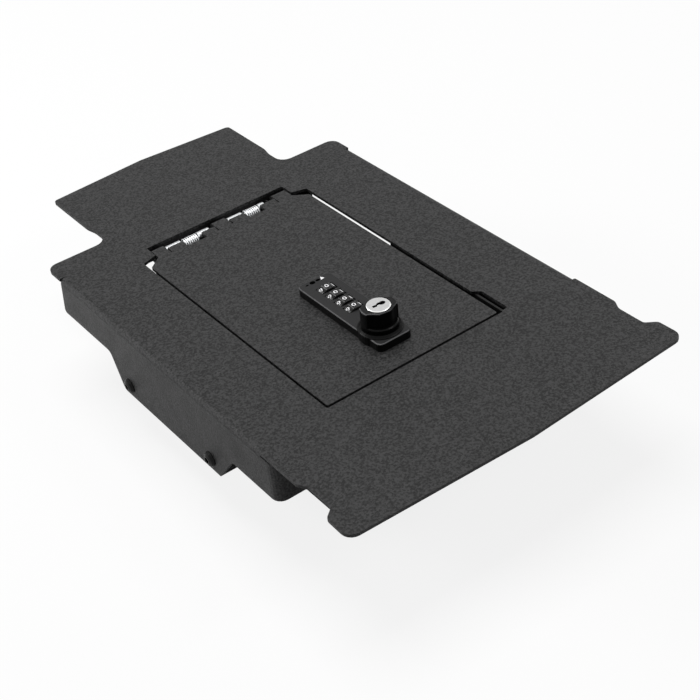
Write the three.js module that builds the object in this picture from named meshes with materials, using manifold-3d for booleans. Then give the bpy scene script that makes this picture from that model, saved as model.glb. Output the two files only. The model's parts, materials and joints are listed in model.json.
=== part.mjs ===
// Console safe: a folded steel cover plate with a flush, hinged lid over a vault tub.
// The lid carries a four-dial combination lock with a keyed turn knob.
// Millimetres, +Z up, +Y toward the rear tongue. All pieces are drawn from the plate's
// own datum (X = 0 on its centre line, Z = 0 on its top face), and the assembly is then
// lifted so that its origin lies under the middle of the plate, on the surface it stands on.
import * as THREE from 'three';
import { mergeVertices } from 'three/addons/utils/BufferGeometryUtils.js';
import Module from 'manifold-3d';

const wasm = await Module();
wasm.setup();

// Sheets
const sheet = 2.3; // cover plate, lid and hinge leaves
const tubSheet = 1.5; // vault tub and lid stiffener
const seat = 0.3; // gap between pieces that meet with a clearance

// Cover plate outline
const plateHalf = 128; // half width over the folded sides
const bendOuter = 4.1; // outer radius of the long side folds
const flatHalf = plateHalf - bendOuter; // where the flat top ends and the fold begins
const tipY = 230.4; // rear tip of the tongue
const tongueHalf = 80.2;
const tongueRearY = 225;
const tongueWaist = 78.2; // tongue half width at its root
const tongueStepRearY = 172; // where its sides draw in
const tongueStepFrontY = 163;
const tongueStepRadius = 12;
const shoulderY = 145.3;
const rootRadius = 9;
const shoulderRadius = 7.5;
const foldRearY = 125.1;
const foldRelief = 0.3;
const foldFrontY = -126;
const freeEdgeHalf = 127.7; // flat edge in front of the folds
const freeEdgeFrontY = -163;
const freeEdgeCorner = 1;
const neckRearY = -170;
const neckFrontY = -191.6;
const earHalf = 131.8;
const earRearY = -197.4;
const earFrontY = -218.3;
const noseY = -223.5; // front tip on the centre line

// Folded sides
const skirtTopFront = -3.2; // top of the side where it runs free under the flat edge
const skirtDeep = -57.1;
const skirtShallow = -32.6;
const skirtRear = -30.5;
const skirtRearEndY = 130.2;
const rampRearY = 64.7;
const rampFrontY = 53;
const returnY = -69; // front face of the deep part's return
const webFrontY = -88.5; // where the slanting edge in front of it meets the shallow part
const returnReach = 16;
const cornerOuter = 7;
const frontWallY = -139.5;
const frontWallInnerX = 100;

// Opening in the plate and the lid in it
const openLeft = -74.3;
const openRight = 68.6;
const openFront = -120.8;
const openSideRearY = 99.1;
const recessLeft = -62.5;
const recessRight = 57;
const recessShoulderY = 102.5;
const recessRear = 115;
const pickRight = openRight + 5.2; // finger notch at the right front corner
const pickFrontY = openFront + 1.3;
const pickRearY = pickFrontY + 30.1;
const lidGapLeft = 1.7;
const lidGapRight = 3.5;
const lidGapFront = 2;
const lidLeft = openLeft + lidGapLeft;
const lidRight = openRight - lidGapRight;
const lidFront = openFront + lidGapFront;
const lidSideRearY = openSideRearY - 8.4;
const lidChamferInset = 10.4;
const lidChamferRearY = openSideRearY - 0.3;

// Hinge
const hingeSetback = 7.2; // from the opening's rear edge to the pin
const hingeY = recessRear - hingeSetback;
const pinR = 2;
const boreR = pinR + seat;
const barrelR = boreR + sheet; // knuckles rolled from the lid
const hingeZ = -barrelR;
const leafSheet = 1.2;
const leafBarrelR = boreR + leafSheet;
const barrelGap = 0.36; // lid edge to the fixed barrels
const lidRear = hingeY - Math.sqrt((leafBarrelR + barrelGap) ** 2 - boreR ** 2);
const lidKnuckles = [[-61.9, -52], [-10.5, 1], [43, 55]];
const slitWidth = 1;
const slitFront = lidRear - 6.7;
const leafLeftBarrels = [[-51, -39], [-24.5, -14.5]];
const leafRightBarrels = [[2.5, 14.5], [29.5, 34.5]];
const coilNotchLeft = [-38.5, -22];
const coilNotchRight = [15, 29.5];
const coilNotchFront = hingeY - 11.3;
const coilLeft = [-38.6, -27.7];
const coilRight = [15.2, 26.1];
const clipX = 37.4;
const clipWidth = 1.2;
const clipR = 3.3;
const leafWallDepth = -27;
const leafRivetZ = -18;
const leafRivetInset = 7;

// Torsion coils
const wireR = 0.45;
const coilSlack = 0.6;
const coilR = pinR + coilSlack + wireR;
const coilTurns = 7;
const coilSides = 5;
const coilSteps = 8;
const legReach = 12.8; // from the pin to the leg's end under the lid

// Vault tub
const tubLapLeft = 1; // from the opening's edges out to the tub's inner faces
const tubLapRight = 1.7;
const tubLapFront = 2.2;
const tubLapRear = 2;
const tubLeft = openLeft - tubLapLeft;
const tubRight = openRight + tubLapRight;
const tubFront = openFront - tubLapFront;
const tubRear = recessRear + tubLapRear;
const standHeight = 89; // plate top above the surface it stands on
const tubCorner = 6;
const tubFlange = 10;
const sideFlangeInset = 20;
const endFlangeInset = 15;
const windowFrontY = 0;
const windowRearY = 97;
const windowDepth = 25;
const floorHoleR = 3.5;
const floorHoleInset = 22;

// Cable hole in the tub's rear wall, and the closed pocket below the finger notch
const cableHoleInset = 7.3; // from the tub's left wall
const cableHoleWidth = 13;
const cableHoleHeight = 12;
const cableHoleTop = -13.8;
const pocketDepth = 6;
const pocketReach = 1.5; // past the notch's edge
const pocketFrontLap = 2;
const pocketRearLap = 5;

// Ties between the folded sides and the tub, and their screws
const tieSheet = 2.3;
const tieLow = -57;
const tieHigh = -40;
const tieWidth = 20;
const screwFrontY = -59.5;
const screwRearY = 43;
const tieFrontY = screwFrontY + 3.9; // middle of each tie
const tieRearY = screwRearY + 3.5;
const screwZ = -48;
const screwR = 3;
const headR = 5.5;
const headHeight = 3.1;
const socketAcross = 4;
const socketDepth = 2;
const nutAcross = 10;
const nutThick = 5;
const rivetR = 2;
const rivetHeadR = 3.6;
const rivetHeadHeight = 1.7;

// Lid stops
const stopWidth = 24;
const stopLeftX = -50;
const stopRightX = 42;
const stopSheet = 1.8;
const stopShelfZ = -7.2;
const stopDepth = -24;
const stopReach = 14.5;
const bumperR = 4.8;
const bumperY = tubFront + 9.4;

// Lid stiffener pan
const panLeft = lidLeft + 10.6;
const panRight = lidRight - 10.1;
const panFront = lidFront + 14.8;
const panRear = lidRear - 15.7;
const panDepth = 12;
const panCorner = 8;

// Lock on the lid
const lockX = -3.7;
const lockWidth = 27.1;
const lockRear = -9.7;
const lockFront = -100.5;
const lockHeight = 6;
const lockCorner = 4;
const lockBevel = 0.6;
const knobY = -84;
const collarR = 15;
const collarHeight = 2.2;
const grooveR = 13.4;
const grooveDepth = 0.8;
const dialX = -3.2;
const dialR = 8.2;
const dialWidth = 7.2;
const dialPitch = 10;
const dialFirstY = -25.3;
const dialCount = 4;
const dialNotches = 10;
const dialZ = 0;
const dialSlotHalf = 7.4;
const caseHalf = 9.8; // lock case below the lid
const caseWall = 3;
const caseDepth = -11;
const axleR = 1.5;
const lockScrewR = 2;
const lockScrewRearY = -14;
const lockScrewFrontY = -70.4;
const clampThick = 2;
const clampHalf = 12.5;
const clampFront = -97;

// Knob, key plug, spindle and cam
const gripTop = 22.5;
const gripR = 12.4;
const gripFoot = 3;
const gripHalf = 4.7;
const gripBoss = 9.8;
const gripTurn = -9; // degrees, the way the knob rests in the photograph
const keyDiscR = 8;
const keyDiscThick = 2.4;
const keyPlugR = 5;
const keyPlugLength = 9;
const spindleR = 5;
const spindleEndR = 3.5;
const camTop = -17;
const camThick = 3;
const camLength = 33.5;
const camHalf = 8;
const camNutAcross = 11;
const camNutThick = 4;
const strikeHigh = camTop + 2.2;
const strikeLow = camTop - camThick - 2.2;
const strikeLeft = lockX - 10.3;
const strikeRight = lockX + 18.7;
const strikeSheet = 2;
const strikeMargin = 9;

const steel = { color: 0x3b3c3e, roughness: 0.62, metalness: 0.35 };
const innerSteel = { color: 0x2b2c2e, roughness: 0.7, metalness: 0.3 };
const zinc = { color: 0xc9ccce, roughness: 0.35, metalness: 0.9 };
const blackOxide = { color: 0x161719, roughness: 0.4, metalness: 0.6 };
const zamak = { color: 0x2a2b2d, roughness: 0.5, metalness: 0.4 };
const chrome = { color: 0xd9dbdc, roughness: 0.22, metalness: 1 };
const rubber = { color: 0x141414, roughness: 0.9, metalness: 0 };

// Shapes

function arcSteps(radius, sweep) {
  const perQuarter = radius > 5 ? 5 : radius > 2 ? 4 : 2;
  return Math.max(1, Math.round((Math.abs(sweep) / (Math.PI / 2)) * perQuarter));
}

// A closed outline whose corners are [x, y, radius].
function rounded(corners) {
  const points = [];
  const count = corners.length;
  corners.forEach(([x, y, radius], i) => {
    const corner = new THREE.Vector2(x, y);
    if (!radius) {
      points.push(corner);
      return;
    }
    const before = corners[(i + count - 1) % count];
    const after = corners[(i + 1) % count];
    const a = new THREE.Vector2(before[0], before[1]).sub(corner).normalize();
    const b = new THREE.Vector2(after[0], after[1]).sub(corner).normalize();
    const half = Math.acos(THREE.MathUtils.clamp(a.dot(b), -1, 1)) / 2;
    const along = radius / Math.tan(half);
    const start = corner.clone().addScaledVector(a, along);
    const end = corner.clone().addScaledVector(b, along);
    const middle = a.clone().add(b).normalize();
    const centre = corner.clone().addScaledVector(middle, radius / Math.sin(half));
    const from = start.clone().sub(centre).angle();
    let sweep = end.clone().sub(centre).angle() - from;
    if (sweep > Math.PI) sweep -= 2 * Math.PI;
    if (sweep < -Math.PI) sweep += 2 * Math.PI;
    const steps = arcSteps(radius, sweep);
    for (let k = 0; k <= steps; k += 1) {
      const angle = from + (sweep * k) / steps;
      points.push(new THREE.Vector2(
        centre.x + radius * Math.cos(angle),
        centre.y + radius * Math.sin(angle),
      ));
    }
  });
  return new THREE.Shape(points);
}

function rectangle(x0, y0, x1, y1, radius = 0) {
  return rounded([[x0, y0, radius], [x1, y0, radius], [x1, y1, radius], [x0, y1, radius]]);
}

function disc(x, y, radius, sides = 24, turn = 0) {
  const points = [];
  for (let k = 0; k < sides; k += 1) {
    const angle = turn + (2 * Math.PI * k) / sides;
    points.push(new THREE.Vector2(x + radius * Math.cos(angle), y + radius * Math.sin(angle)));
  }
  return new THREE.Shape(points);
}

function hexagon(x, y, across) {
  return disc(x, y, across / Math.sqrt(3), 6, Math.PI / 6);
}

// A folded corner: a sector of a ring, swept between two angles in degrees.
function fold(x, y, outer, inner, fromDeg, toDeg) {
  const from = THREE.MathUtils.degToRad(fromDeg);
  const to = THREE.MathUtils.degToRad(toDeg);
  const steps = Math.max(3, arcSteps(outer, to - from));
  const points = [];
  for (let k = 0; k <= steps; k += 1) {
    const angle = from + ((to - from) * k) / steps;
    points.push(new THREE.Vector2(x + outer * Math.cos(angle), y + outer * Math.sin(angle)));
  }
  for (let k = steps; k >= 0; k -= 1) {
    const angle = from + ((to - from) * k) / steps;
    points.push(new THREE.Vector2(x + inner * Math.cos(angle), y + inner * Math.sin(angle)));
  }
  return new THREE.Shape(points);
}

// Solids

function extrude(shape, depth) {
  return new THREE.ExtrudeGeometry(shape, { depth, bevelEnabled: false, curveSegments: 12 });
}

// Drawn in X and Y, thick from z0 to z1.
function alongZ(shape, z0, z1) {
  return extrude(shape, z1 - z0).translate(0, 0, z0);
}

// Drawn in Y and Z, long from x0 to x1.
function alongX(shape, x0, x1) {
  const turn = new THREE.Matrix4().set(0, 0, 1, x0, 1, 0, 0, 0, 0, 1, 0, 0, 0, 0, 0, 1);
  return extrude(shape, x1 - x0).applyMatrix4(turn);
}

// Drawn in X and Z, long from y0 to y1.
function alongY(shape, y0, y1) {
  const turn = new THREE.Matrix4().set(1, 0, 0, 0, 0, 0, -1, y1, 0, 1, 0, 0, 0, 0, 0, 1);
  return extrude(shape, y1 - y0).applyMatrix4(turn);
}

function box(x0, x1, y0, y1, z0, z1) {
  const geometry = new THREE.BoxGeometry(x1 - x0, y1 - y0, z1 - z0);
  return geometry.translate((x0 + x1) / 2, (y0 + y1) / 2, (z0 + z1) / 2);
}

function turned(profile, sides = 24) {
  return new THREE.LatheGeometry(profile.map(([r, h]) => new THREE.Vector2(r, h)), sides);
}

// A turned piece whose axis points along +X from x.
function turnedX(profile, x, y, z, sides) {
  return turned(profile, sides).rotateZ(-Math.PI / 2).translate(x, y, z);
}

function turnedY(profile, x, y, z, sides) {
  return turned(profile, sides).translate(x, y, z);
}

function turnedZ(profile, x, y, z, sides) {
  return turned(profile, sides).rotateX(Math.PI / 2).translate(x, y, z);
}

function solid(geometry) {
  const plain = geometry.clone();
  for (const name of Object.keys(plain.attributes)) {
    if (name !== 'position') plain.deleteAttribute(name);
  }
  const merged = mergeVertices(plain, 1e-4);
  return new wasm.Manifold(new wasm.Mesh({
    numProp: 3,
    vertProperties: new Float32Array(merged.attributes.position.array),
    triVerts: new Uint32Array(merged.index.array),
  }));
}

function join(...pieces) {
  return pieces.map((p) => (p.isBufferGeometry ? solid(p) : p)).reduce((a, b) => a.add(b));
}

function cut(body, ...tools) {
  const start = body.isBufferGeometry ? solid(body) : body;
  return tools.map((p) => (p.isBufferGeometry ? solid(p) : p)).reduce((a, b) => a.subtract(b), start);
}

function geometryOf(body) {
  const mesh = body.getMesh();
  const geometry = new THREE.BufferGeometry();
  geometry.setAttribute('position', new THREE.BufferAttribute(mesh.vertProperties.slice(), 3));
  geometry.setIndex(new THREE.BufferAttribute(mesh.triVerts.slice(), 1));
  return geometry;
}

const safe = new THREE.Group();
safe.position.set(0, -(tipY + noseY) / 2, standHeight);

function add(name, body, look, parent = safe) {
  const geometry = body.isBufferGeometry ? body : geometryOf(body);
  const mesh = new THREE.Mesh(geometry, new THREE.MeshStandardMaterial({ ...look, flatShading: true }));
  mesh.name = name;
  parent.add(mesh);
  return mesh;
}

// The cover plate: one folded sheet

function plateOutline() {
  const right = [
    [tongueHalf, tongueRearY, 3],
    [tongueHalf, tongueStepRearY, tongueStepRadius],
    [tongueWaist, tongueStepFrontY, tongueStepRadius],
    [tongueWaist, shoulderY, rootRadius],
    [plateHalf, shoulderY, shoulderRadius],
    [plateHalf, foldRearY + foldRelief, 0],
    [flatHalf, foldRearY + foldRelief, 0],
    [flatHalf, foldFrontY, 0],
    [freeEdgeHalf, foldFrontY, freeEdgeCorner],
    [freeEdgeHalf, freeEdgeFrontY, 4],
    [flatHalf, neckRearY, 4],
    [flatHalf, neckFrontY, 3],
    [earHalf - 0.5, earRearY, 3.4],
    [earHalf, earFrontY, 7.5],
  ];
  const left = right.map(([x, y, r]) => [-x, y, r]).reverse();
  return rounded([[0, tipY, 0], ...right, [0, noseY, 0], ...left]);
}

function openingOutline() {
  return rounded([
    [openLeft, openFront, 1.5],
    [openRight, openFront, 0.8],
    [openRight, pickFrontY, 0.8],
    [pickRight, pickFrontY, 1.5],
    [pickRight, pickRearY - 4.5, 1],
    [openRight, pickRearY, 1],
    [openRight, openSideRearY, 1],
    [recessRight, recessShoulderY, 1],
    [recessRight, recessRear, 1.2],
    [recessLeft, recessRear, 1.2],
    [recessLeft, recessShoulderY, 1],
    [openLeft, openSideRearY, 1],
  ]);
}

// One folded side, drawn for the left and mirrored for the right.
function foldedSide() {
  const outer = -plateHalf;
  const inner = outer + sheet;
  const bend = alongY(
    fold(-flatHalf, -bendOuter, bendOuter, bendOuter - sheet, 90, 180),
    foldFrontY,
    foldRearY,
  );
  const wallFrontY = frontWallY + cornerOuter;
  const wall = alongX(rounded([
    [foldRearY, -bendOuter, 0],
    [foldFrontY, -bendOuter, 0],
    [foldFrontY, skirtTopFront, 0],
    [wallFrontY, skirtTopFront, 0],
    [wallFrontY, skirtShallow, 0],
    [webFrontY, skirtShallow, 1.5],
    [returnY, skirtDeep, 0],
    [rampFrontY, skirtDeep, 6],
    [rampRearY, skirtRear, 5],
    [skirtRearEndY, skirtRear, 2.5],
  ]), outer, inner);
  const corner = alongZ(
    fold(outer + cornerOuter, wallFrontY, cornerOuter, cornerOuter - sheet, 180, 270),
    skirtShallow,
    skirtTopFront,
  );
  const frontWall = box(
    outer + cornerOuter,
    -frontWallInnerX,
    frontWallY,
    frontWallY + sheet,
    skirtShallow,
    skirtTopFront,
  );
  const returnTab = box(
    outer + sheet / 2,
    outer + returnReach,
    returnY,
    returnY + sheet,
    skirtDeep,
    skirtShallow,
  );
  const holes = [screwFrontY, screwRearY].map((y) => alongX(
    disc(y, screwZ, screwR + seat),
    outer - 1,
    inner + 1,
  ));
  return cut(join(bend, wall, corner, frontWall, returnTab), ...holes);
}

const plateShape = plateOutline();
plateShape.holes.push(new THREE.Path(openingOutline().getPoints()));
const leftSide = foldedSide();
const rightSide = leftSide.mirror([1, 0, 0]);
add('face_plate', join(alongZ(plateShape, -sheet, 0), leftSide, rightSide), steel);

// The vault tub, open at the top and seated on the plate's underside

const tubTop = -sheet;
const tubBottom = -standHeight;

function tubRing(grow, z0, z1) {
  return alongZ(rectangle(
    tubLeft - grow,
    tubFront - grow,
    tubRight + grow,
    tubRear + grow,
    tubCorner - tubSheet + grow,
  ), z0, z1);
}

const floorHoles = [tubLeft + floorHoleInset, tubRight - floorHoleInset].flatMap((x) => (
  [tubFront + floorHoleInset, tubRear - floorHoleInset].map((y) => alongZ(
    disc(x, y, floorHoleR, 16),
    tubBottom - 1,
    tubBottom + tubSheet + 1,
  ))
));

function tubFlangeBox(x0, x1, y0, y1) {
  return box(x0, x1, y0, y1, tubTop - tubSheet, tubTop);
}

const flangeOut = tubSheet + tubFlange;
const flangeLeft = tubLeft + endFlangeInset;
const flangeRight = tubRight - endFlangeInset;
const pocketFloor = tubTop - pocketDepth;
const pocketRight = pickRight + pocketReach;
const pocketEnds = [pickFrontY - pocketFrontLap, pickRearY + pocketRearLap];

const tubBody = join(
  tubRing(tubSheet, tubBottom, tubTop),
  tubFlangeBox(tubLeft - flangeOut, tubLeft, tubFront + sideFlangeInset, tubRear - sideFlangeInset),
  tubFlangeBox(flangeLeft, flangeRight, tubFront - flangeOut, tubFront),
  tubFlangeBox(flangeLeft, flangeRight, tubRear, tubRear + flangeOut),
  box(tubRight, pocketRight + tubSheet, ...pocketEnds, pocketFloor - tubSheet, pocketFloor),
  box(pocketRight, pocketRight + tubSheet, ...pocketEnds, pocketFloor - tubSheet, tubTop),
);

const cableHoleLeft = tubLeft + cableHoleInset;
const cableHole = box(
  cableHoleLeft,
  cableHoleLeft + cableHoleWidth,
  tubRear - 1,
  tubRear + tubSheet + 1,
  cableHoleTop - cableHoleHeight,
  cableHoleTop,
);

const leafBarrelSets = [leafLeftBarrels, leafRightBarrels];
const leafRivetX = leafBarrelSets.flatMap((set) => (
  [set[0][0] + leafRivetInset, set[set.length - 1][1] - leafRivetInset]
));
const tieYs = [tieFrontY, tieRearY];
const screwYs = [screwFrontY, screwRearY];
const tieRivetZ = (tieLow + tieHigh) / 2 + 1;

const tubHoles = [
  ...leafRivetX.map((x) => alongY(disc(x, leafRivetZ, rivetR + seat, 12), tubRear - 1, tubRear + 4)),
  ...tieYs.flatMap((y) => [
    alongX(disc(y, tieRivetZ, rivetR + seat, 12), tubLeft - 4, tubLeft + 1),
    alongX(disc(y, tieRivetZ, rivetR + seat, 12), tubRight - 1, tubRight + 4),
  ]),
];

add('vault_tub', cut(
  tubBody,
  tubRing(0, tubBottom + tubSheet, tubTop + 1),
  box(tubRight - 1, tubRight + tubSheet + 1, windowFrontY, windowRearY, tubTop - windowDepth, tubTop + 1),
  box(strikeLeft, strikeRight, tubFront - 4, tubFront + 1, strikeLow, strikeHigh),
  cableHole,
  ...floorHoles,
  ...tubHoles,
), innerSteel);

// Strike behind the slot in the tub's front wall

const strikeOuter = rounded([
  [strikeLeft - strikeMargin, strikeLow - strikeMargin / 2, 2],
  [strikeRight + strikeMargin, strikeLow - strikeMargin / 2, 2],
  [strikeRight + strikeMargin, strikeHigh + strikeMargin / 2, 2],
  [strikeLeft - strikeMargin, strikeHigh + strikeMargin / 2, 2],
]);
strikeOuter.holes.push(new THREE.Path(
  rectangle(strikeLeft, strikeLow, strikeRight, strikeHigh, 1).getPoints(),
));
add('strike_plate', alongY(
  strikeOuter,
  tubFront - tubSheet - strikeSheet,
  tubFront - tubSheet,
), zinc);

// Ties from the folded sides to the tub: each a U with two upright feet

const skirtInner = plateHalf - sheet;

function tie(tubFace, side, middleY, screwY) {
  const foot = side * skirtInner;
  const wall = tubFace;
  const inward = -side;
  const profile = rounded([
    [foot, tieHigh, 0],
    [foot, tieLow, 3],
    [wall, tieLow, 3],
    [wall, tieHigh, 0],
    [wall - inward * tieSheet, tieHigh, 0],
    [wall - inward * tieSheet, tieLow + tieSheet, 0.7],
    [foot + inward * tieSheet, tieLow + tieSheet, 0.7],
    [foot + inward * tieSheet, tieHigh, 0],
  ]);
  const low = Math.min(foot, wall) - 1;
  const high = Math.max(foot, wall) + 1;
  const middle = (foot + wall) / 2;
  return cut(
    alongY(profile, middleY - tieWidth / 2, middleY + tieWidth / 2),
    side > 0
      ? alongX(disc(screwY, screwZ, screwR + seat, 12), middle, high)
      : alongX(disc(screwY, screwZ, screwR + seat, 12), low, middle),
    side > 0
      ? alongX(disc(middleY, tieRivetZ, rivetR + seat, 12), low, middle)
      : alongX(disc(middleY, tieRivetZ, rivetR + seat, 12), middle, high),
  );
}

// A button-head screw with a hexagon socket, head outward, lying along X.
const headProfile = [
  [0, -headHeight],
  [headR * 0.5, -headHeight],
  [headR * 0.86, -headHeight * 0.72],
  [headR, -headHeight * 0.12],
  [headR, 0],
];
const shankLength = sheet + tieSheet + nutThick + 2;

function buttonScrew() {
  const profile = [...headProfile, [screwR, 0], [screwR, shankLength], [0, shankLength]];
  const socket = alongX(
    hexagon(0, 0, socketAcross),
    -headHeight - 1,
    -headHeight + socketDepth,
  );
  return cut(turnedX(profile, 0, 0, 0, 20), socket);
}

function sideNut() {
  const shape = hexagon(0, 0, nutAcross);
  shape.holes.push(new THREE.Path(disc(0, 0, screwR + seat, 16).getPoints()));
  return alongX(shape, 0, nutThick);
}

function rivetProfile(rivetGrip) {
  return [
    [0, -rivetHeadHeight],
    [rivetHeadR * 0.7, -rivetHeadHeight * 0.8],
    [rivetHeadR, 0],
    [rivetR, 0],
    [rivetR, rivetGrip],
    [rivetHeadR * 0.85, rivetGrip],
    [rivetHeadR * 0.6, rivetGrip + rivetHeadHeight * 0.7],
    [0, rivetGrip + rivetHeadHeight * 0.9],
  ];
}

for (const [sideName, side, tubFace] of [
  ['left', -1, tubLeft - tubSheet],
  ['right', 1, tubRight + tubSheet],
]) {
  for (const [endName, k] of [['front', 0], ['rear', 1]]) {
    const label = `${sideName}_${endName}`;
    add(`tie_bracket_${label}`, tie(tubFace, side, tieYs[k], screwYs[k]), innerSteel);
    const screw = add(`side_screw_${label}`, buttonScrew(), blackOxide);
    screw.position.set(side * plateHalf, screwYs[k], screwZ);
    if (side > 0) screw.rotation.z = Math.PI;
    const nut = add(`side_nut_${label}`, sideNut(), zinc);
    nut.position.set(side * (skirtInner - tieSheet), screwYs[k], screwZ);
    if (side > 0) nut.rotation.z = Math.PI;
    const rivet = add(`tie_rivet_${label}`, turnedX(rivetProfile(tieSheet + tubSheet), 0, 0, 0, 10), zinc);
    rivet.position.set(tubFace + side * tieSheet, tieYs[k], tieRivetZ);
    if (side > 0) rivet.rotation.z = Math.PI;
  }
}

// Hinge leaves: rolled barrels on a sheet that is folded down the tub's rear wall

function barrel([x0, x1], outerR) {
  const ring = disc(hingeY, hingeZ, outerR);
  ring.holes.push(new THREE.Path(disc(hingeY, hingeZ, boreR).getPoints()));
  return alongX(ring, x0, x1);
}

const leafNotchRear = hingeY + coilR + wireR + seat;

function leaf(barrels) {
  const x0 = barrels[0][0];
  const x1 = barrels[barrels.length - 1][1];
  const low = hingeZ - leafBarrelR;
  const flap = alongX(rounded([
    [hingeY, low + leafSheet, 0],
    [hingeY, low, 0],
    [tubRear - leafSheet, low, 1],
    [tubRear - leafSheet, leafWallDepth, 0],
    [tubRear, leafWallDepth, 0],
    [tubRear, low + leafSheet, 1 + leafSheet],
  ]), x0, x1);
  const gap = box(
    barrels[0][1],
    barrels[1][0],
    hingeY - leafBarrelR - 1,
    leafNotchRear,
    low - 1,
    0,
  );
  const holes = [x0 + leafRivetInset, x1 - leafRivetInset].map((x) => alongY(
    disc(x, leafRivetZ, rivetR + seat, 12),
    tubRear - leafSheet - 1,
    tubRear + 1,
  ));
  const bore = alongX(disc(hingeY, hingeZ, boreR), x0 - 1, x1 + 1);
  return cut(join(flap, ...barrels.map((b) => barrel(b, leafBarrelR))), gap, bore, ...holes);
}

add('hinge_leaf_left', leaf(leafLeftBarrels), zinc);
add('hinge_leaf_right', leaf(leafRightBarrels), zinc);

const pinLeft = lidKnuckles[0][0] + 0.2;
const pinRight = lidKnuckles[2][1] - 0.2;
const pinChamfer = 0.5;
add('hinge_pin', turnedX([
  [0, 0],
  [pinR - pinChamfer, 0],
  [pinR, pinChamfer],
  [pinR, pinRight - pinLeft - pinChamfer],
  [pinR - pinChamfer, pinRight - pinLeft],
  [0, pinRight - pinLeft],
], pinLeft, hingeY, hingeZ, 24), zinc);

const clipRing = disc(hingeY, hingeZ, clipR, 20);
clipRing.holes.push(new THREE.Path(disc(hingeY, hingeZ, pinR + seat, 20).getPoints()));
add('pin_clip', alongX(clipRing, clipX, clipX + clipWidth), zinc);

leafRivetX.forEach((x, k) => {
  const rivet = add(`leaf_rivet_${k + 1}`, turnedY(rivetProfile(leafSheet + tubSheet), 0, 0, 0, 10), zinc);
  rivet.position.set(x, tubRear - leafSheet, leafRivetZ);
});

// Torsion coils round the pin. One leg ends in the leaf's notch, the other under the lid.

const legEndZ = -sheet - seat - wireR;
const legDrop = legEndZ - hingeZ;
const legTilt = Math.asin(coilR / Math.hypot(legReach, legDrop)) + Math.atan2(legDrop, legReach);

class TorsionCoil extends THREE.Curve {
  constructor(x0, x1) {
    super();
    this.x0 = x0 + wireR;
    this.turn = 2 * Math.PI * coilTurns + legTilt;
    this.rise = (x1 - x0 - 2 * wireR) / this.turn;
    this.tail = coilR;
    this.wound = this.turn * Math.hypot(coilR, this.rise);
    this.leg = legReach / Math.cos(legTilt) - coilR * Math.tan(legTilt);
    this.length = this.tail + this.wound + this.leg;
  }

  getPoint(t, target = new THREE.Vector3()) {
    const at = t * this.length;
    if (at < this.tail) {
      return target.set(this.x0, hingeY + this.tail - at, hingeZ - coilR);
    }
    const angle = Math.min((at - this.tail) / this.wound, 1) * this.turn;
    const x = this.x0 + this.rise * angle;
    const y = hingeY - coilR * Math.sin(angle);
    const z = hingeZ - coilR * Math.cos(angle);
    const past = Math.max(at - this.tail - this.wound, 0);
    return target.set(x, y - past * Math.cos(legTilt), z + past * Math.sin(legTilt));
  }
}

// Least gap from the wire to itself, taken on points along it.
function leastGap(curve) {
  const count = 700;
  const apart = Math.ceil((1.5 * coilR / curve.length) * count);
  const points = curve.getPoints(count);
  let least = Infinity;
  for (let i = 0; i < count; i += 1) {
    for (let j = i + apart; j <= count; j += 1) {
      least = Math.min(least, points[i].distanceTo(points[j]));
    }
  }
  return least - 2 * wireR;
}

for (const [name, [x0, x1]] of [['left', coilLeft], ['right', coilRight]]) {
  const curve = new TorsionCoil(x0, x1);
  const steps = Math.round((curve.length / curve.wound) * (curve.turn / (2 * Math.PI)) * coilSteps);
  add(`torsion_spring_${name}`, new THREE.ExtrudeGeometry(disc(0, 0, wireR, coilSides), {
    steps,
    bevelEnabled: false,
    extrudePath: curve,
  }), zinc);
  console.log(`torsion_spring_${name} least gap ${leastGap(curve).toFixed(2)} mm`);
}

// Lid stops on the tub's front wall, each with a rubber bumper

function lidStop(x) {
  return alongX(rounded([
    [tubFront, stopDepth, 0],
    [tubFront + stopSheet, stopDepth, 0],
    [tubFront + stopSheet, stopShelfZ - stopSheet, 0.6],
    [tubFront + stopReach, stopShelfZ - stopSheet, 0],
    [tubFront + stopReach, stopShelfZ, 0],
    [tubFront, stopShelfZ, 2.4],
  ]), x - stopWidth / 2, x + stopWidth / 2);
}

const bumperTop = -sheet - seat;
for (const [name, x] of [['left', stopLeftX], ['right', stopRightX]]) {
  add(`lid_stop_${name}`, lidStop(x), innerSteel);
  add(`stop_bumper_${name}`, turnedZ([
    [0, 0],
    [bumperR, 0],
    [bumperR, (bumperTop - stopShelfZ) * 0.7],
    [bumperR - 1, bumperTop - stopShelfZ],
    [0, bumperTop - stopShelfZ],
  ], x, bumperY, stopShelfZ, 20), rubber);
}

// The lid: a flat panel with three knuckles rolled from its rear edge

const caseRear = dialFirstY + dialWidth / 2 + seat + caseWall;
const caseFront = dialFirstY - dialPitch * (dialCount - 1) - dialWidth / 2 - seat - caseWall;
const lockScrewYs = [lockScrewRearY, lockScrewFrontY];

function lockCutouts(z0, z1) {
  return [
    box(dialX - caseHalf - seat, dialX + caseHalf + seat, caseFront - seat, caseRear + seat, z0, z1),
    alongZ(disc(lockX, knobY, spindleR + seat), z0, z1),
    ...lockScrewYs.map((y) => alongZ(disc(lockX, y, lockScrewR + seat, 12), z0, z1)),
  ];
}

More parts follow.
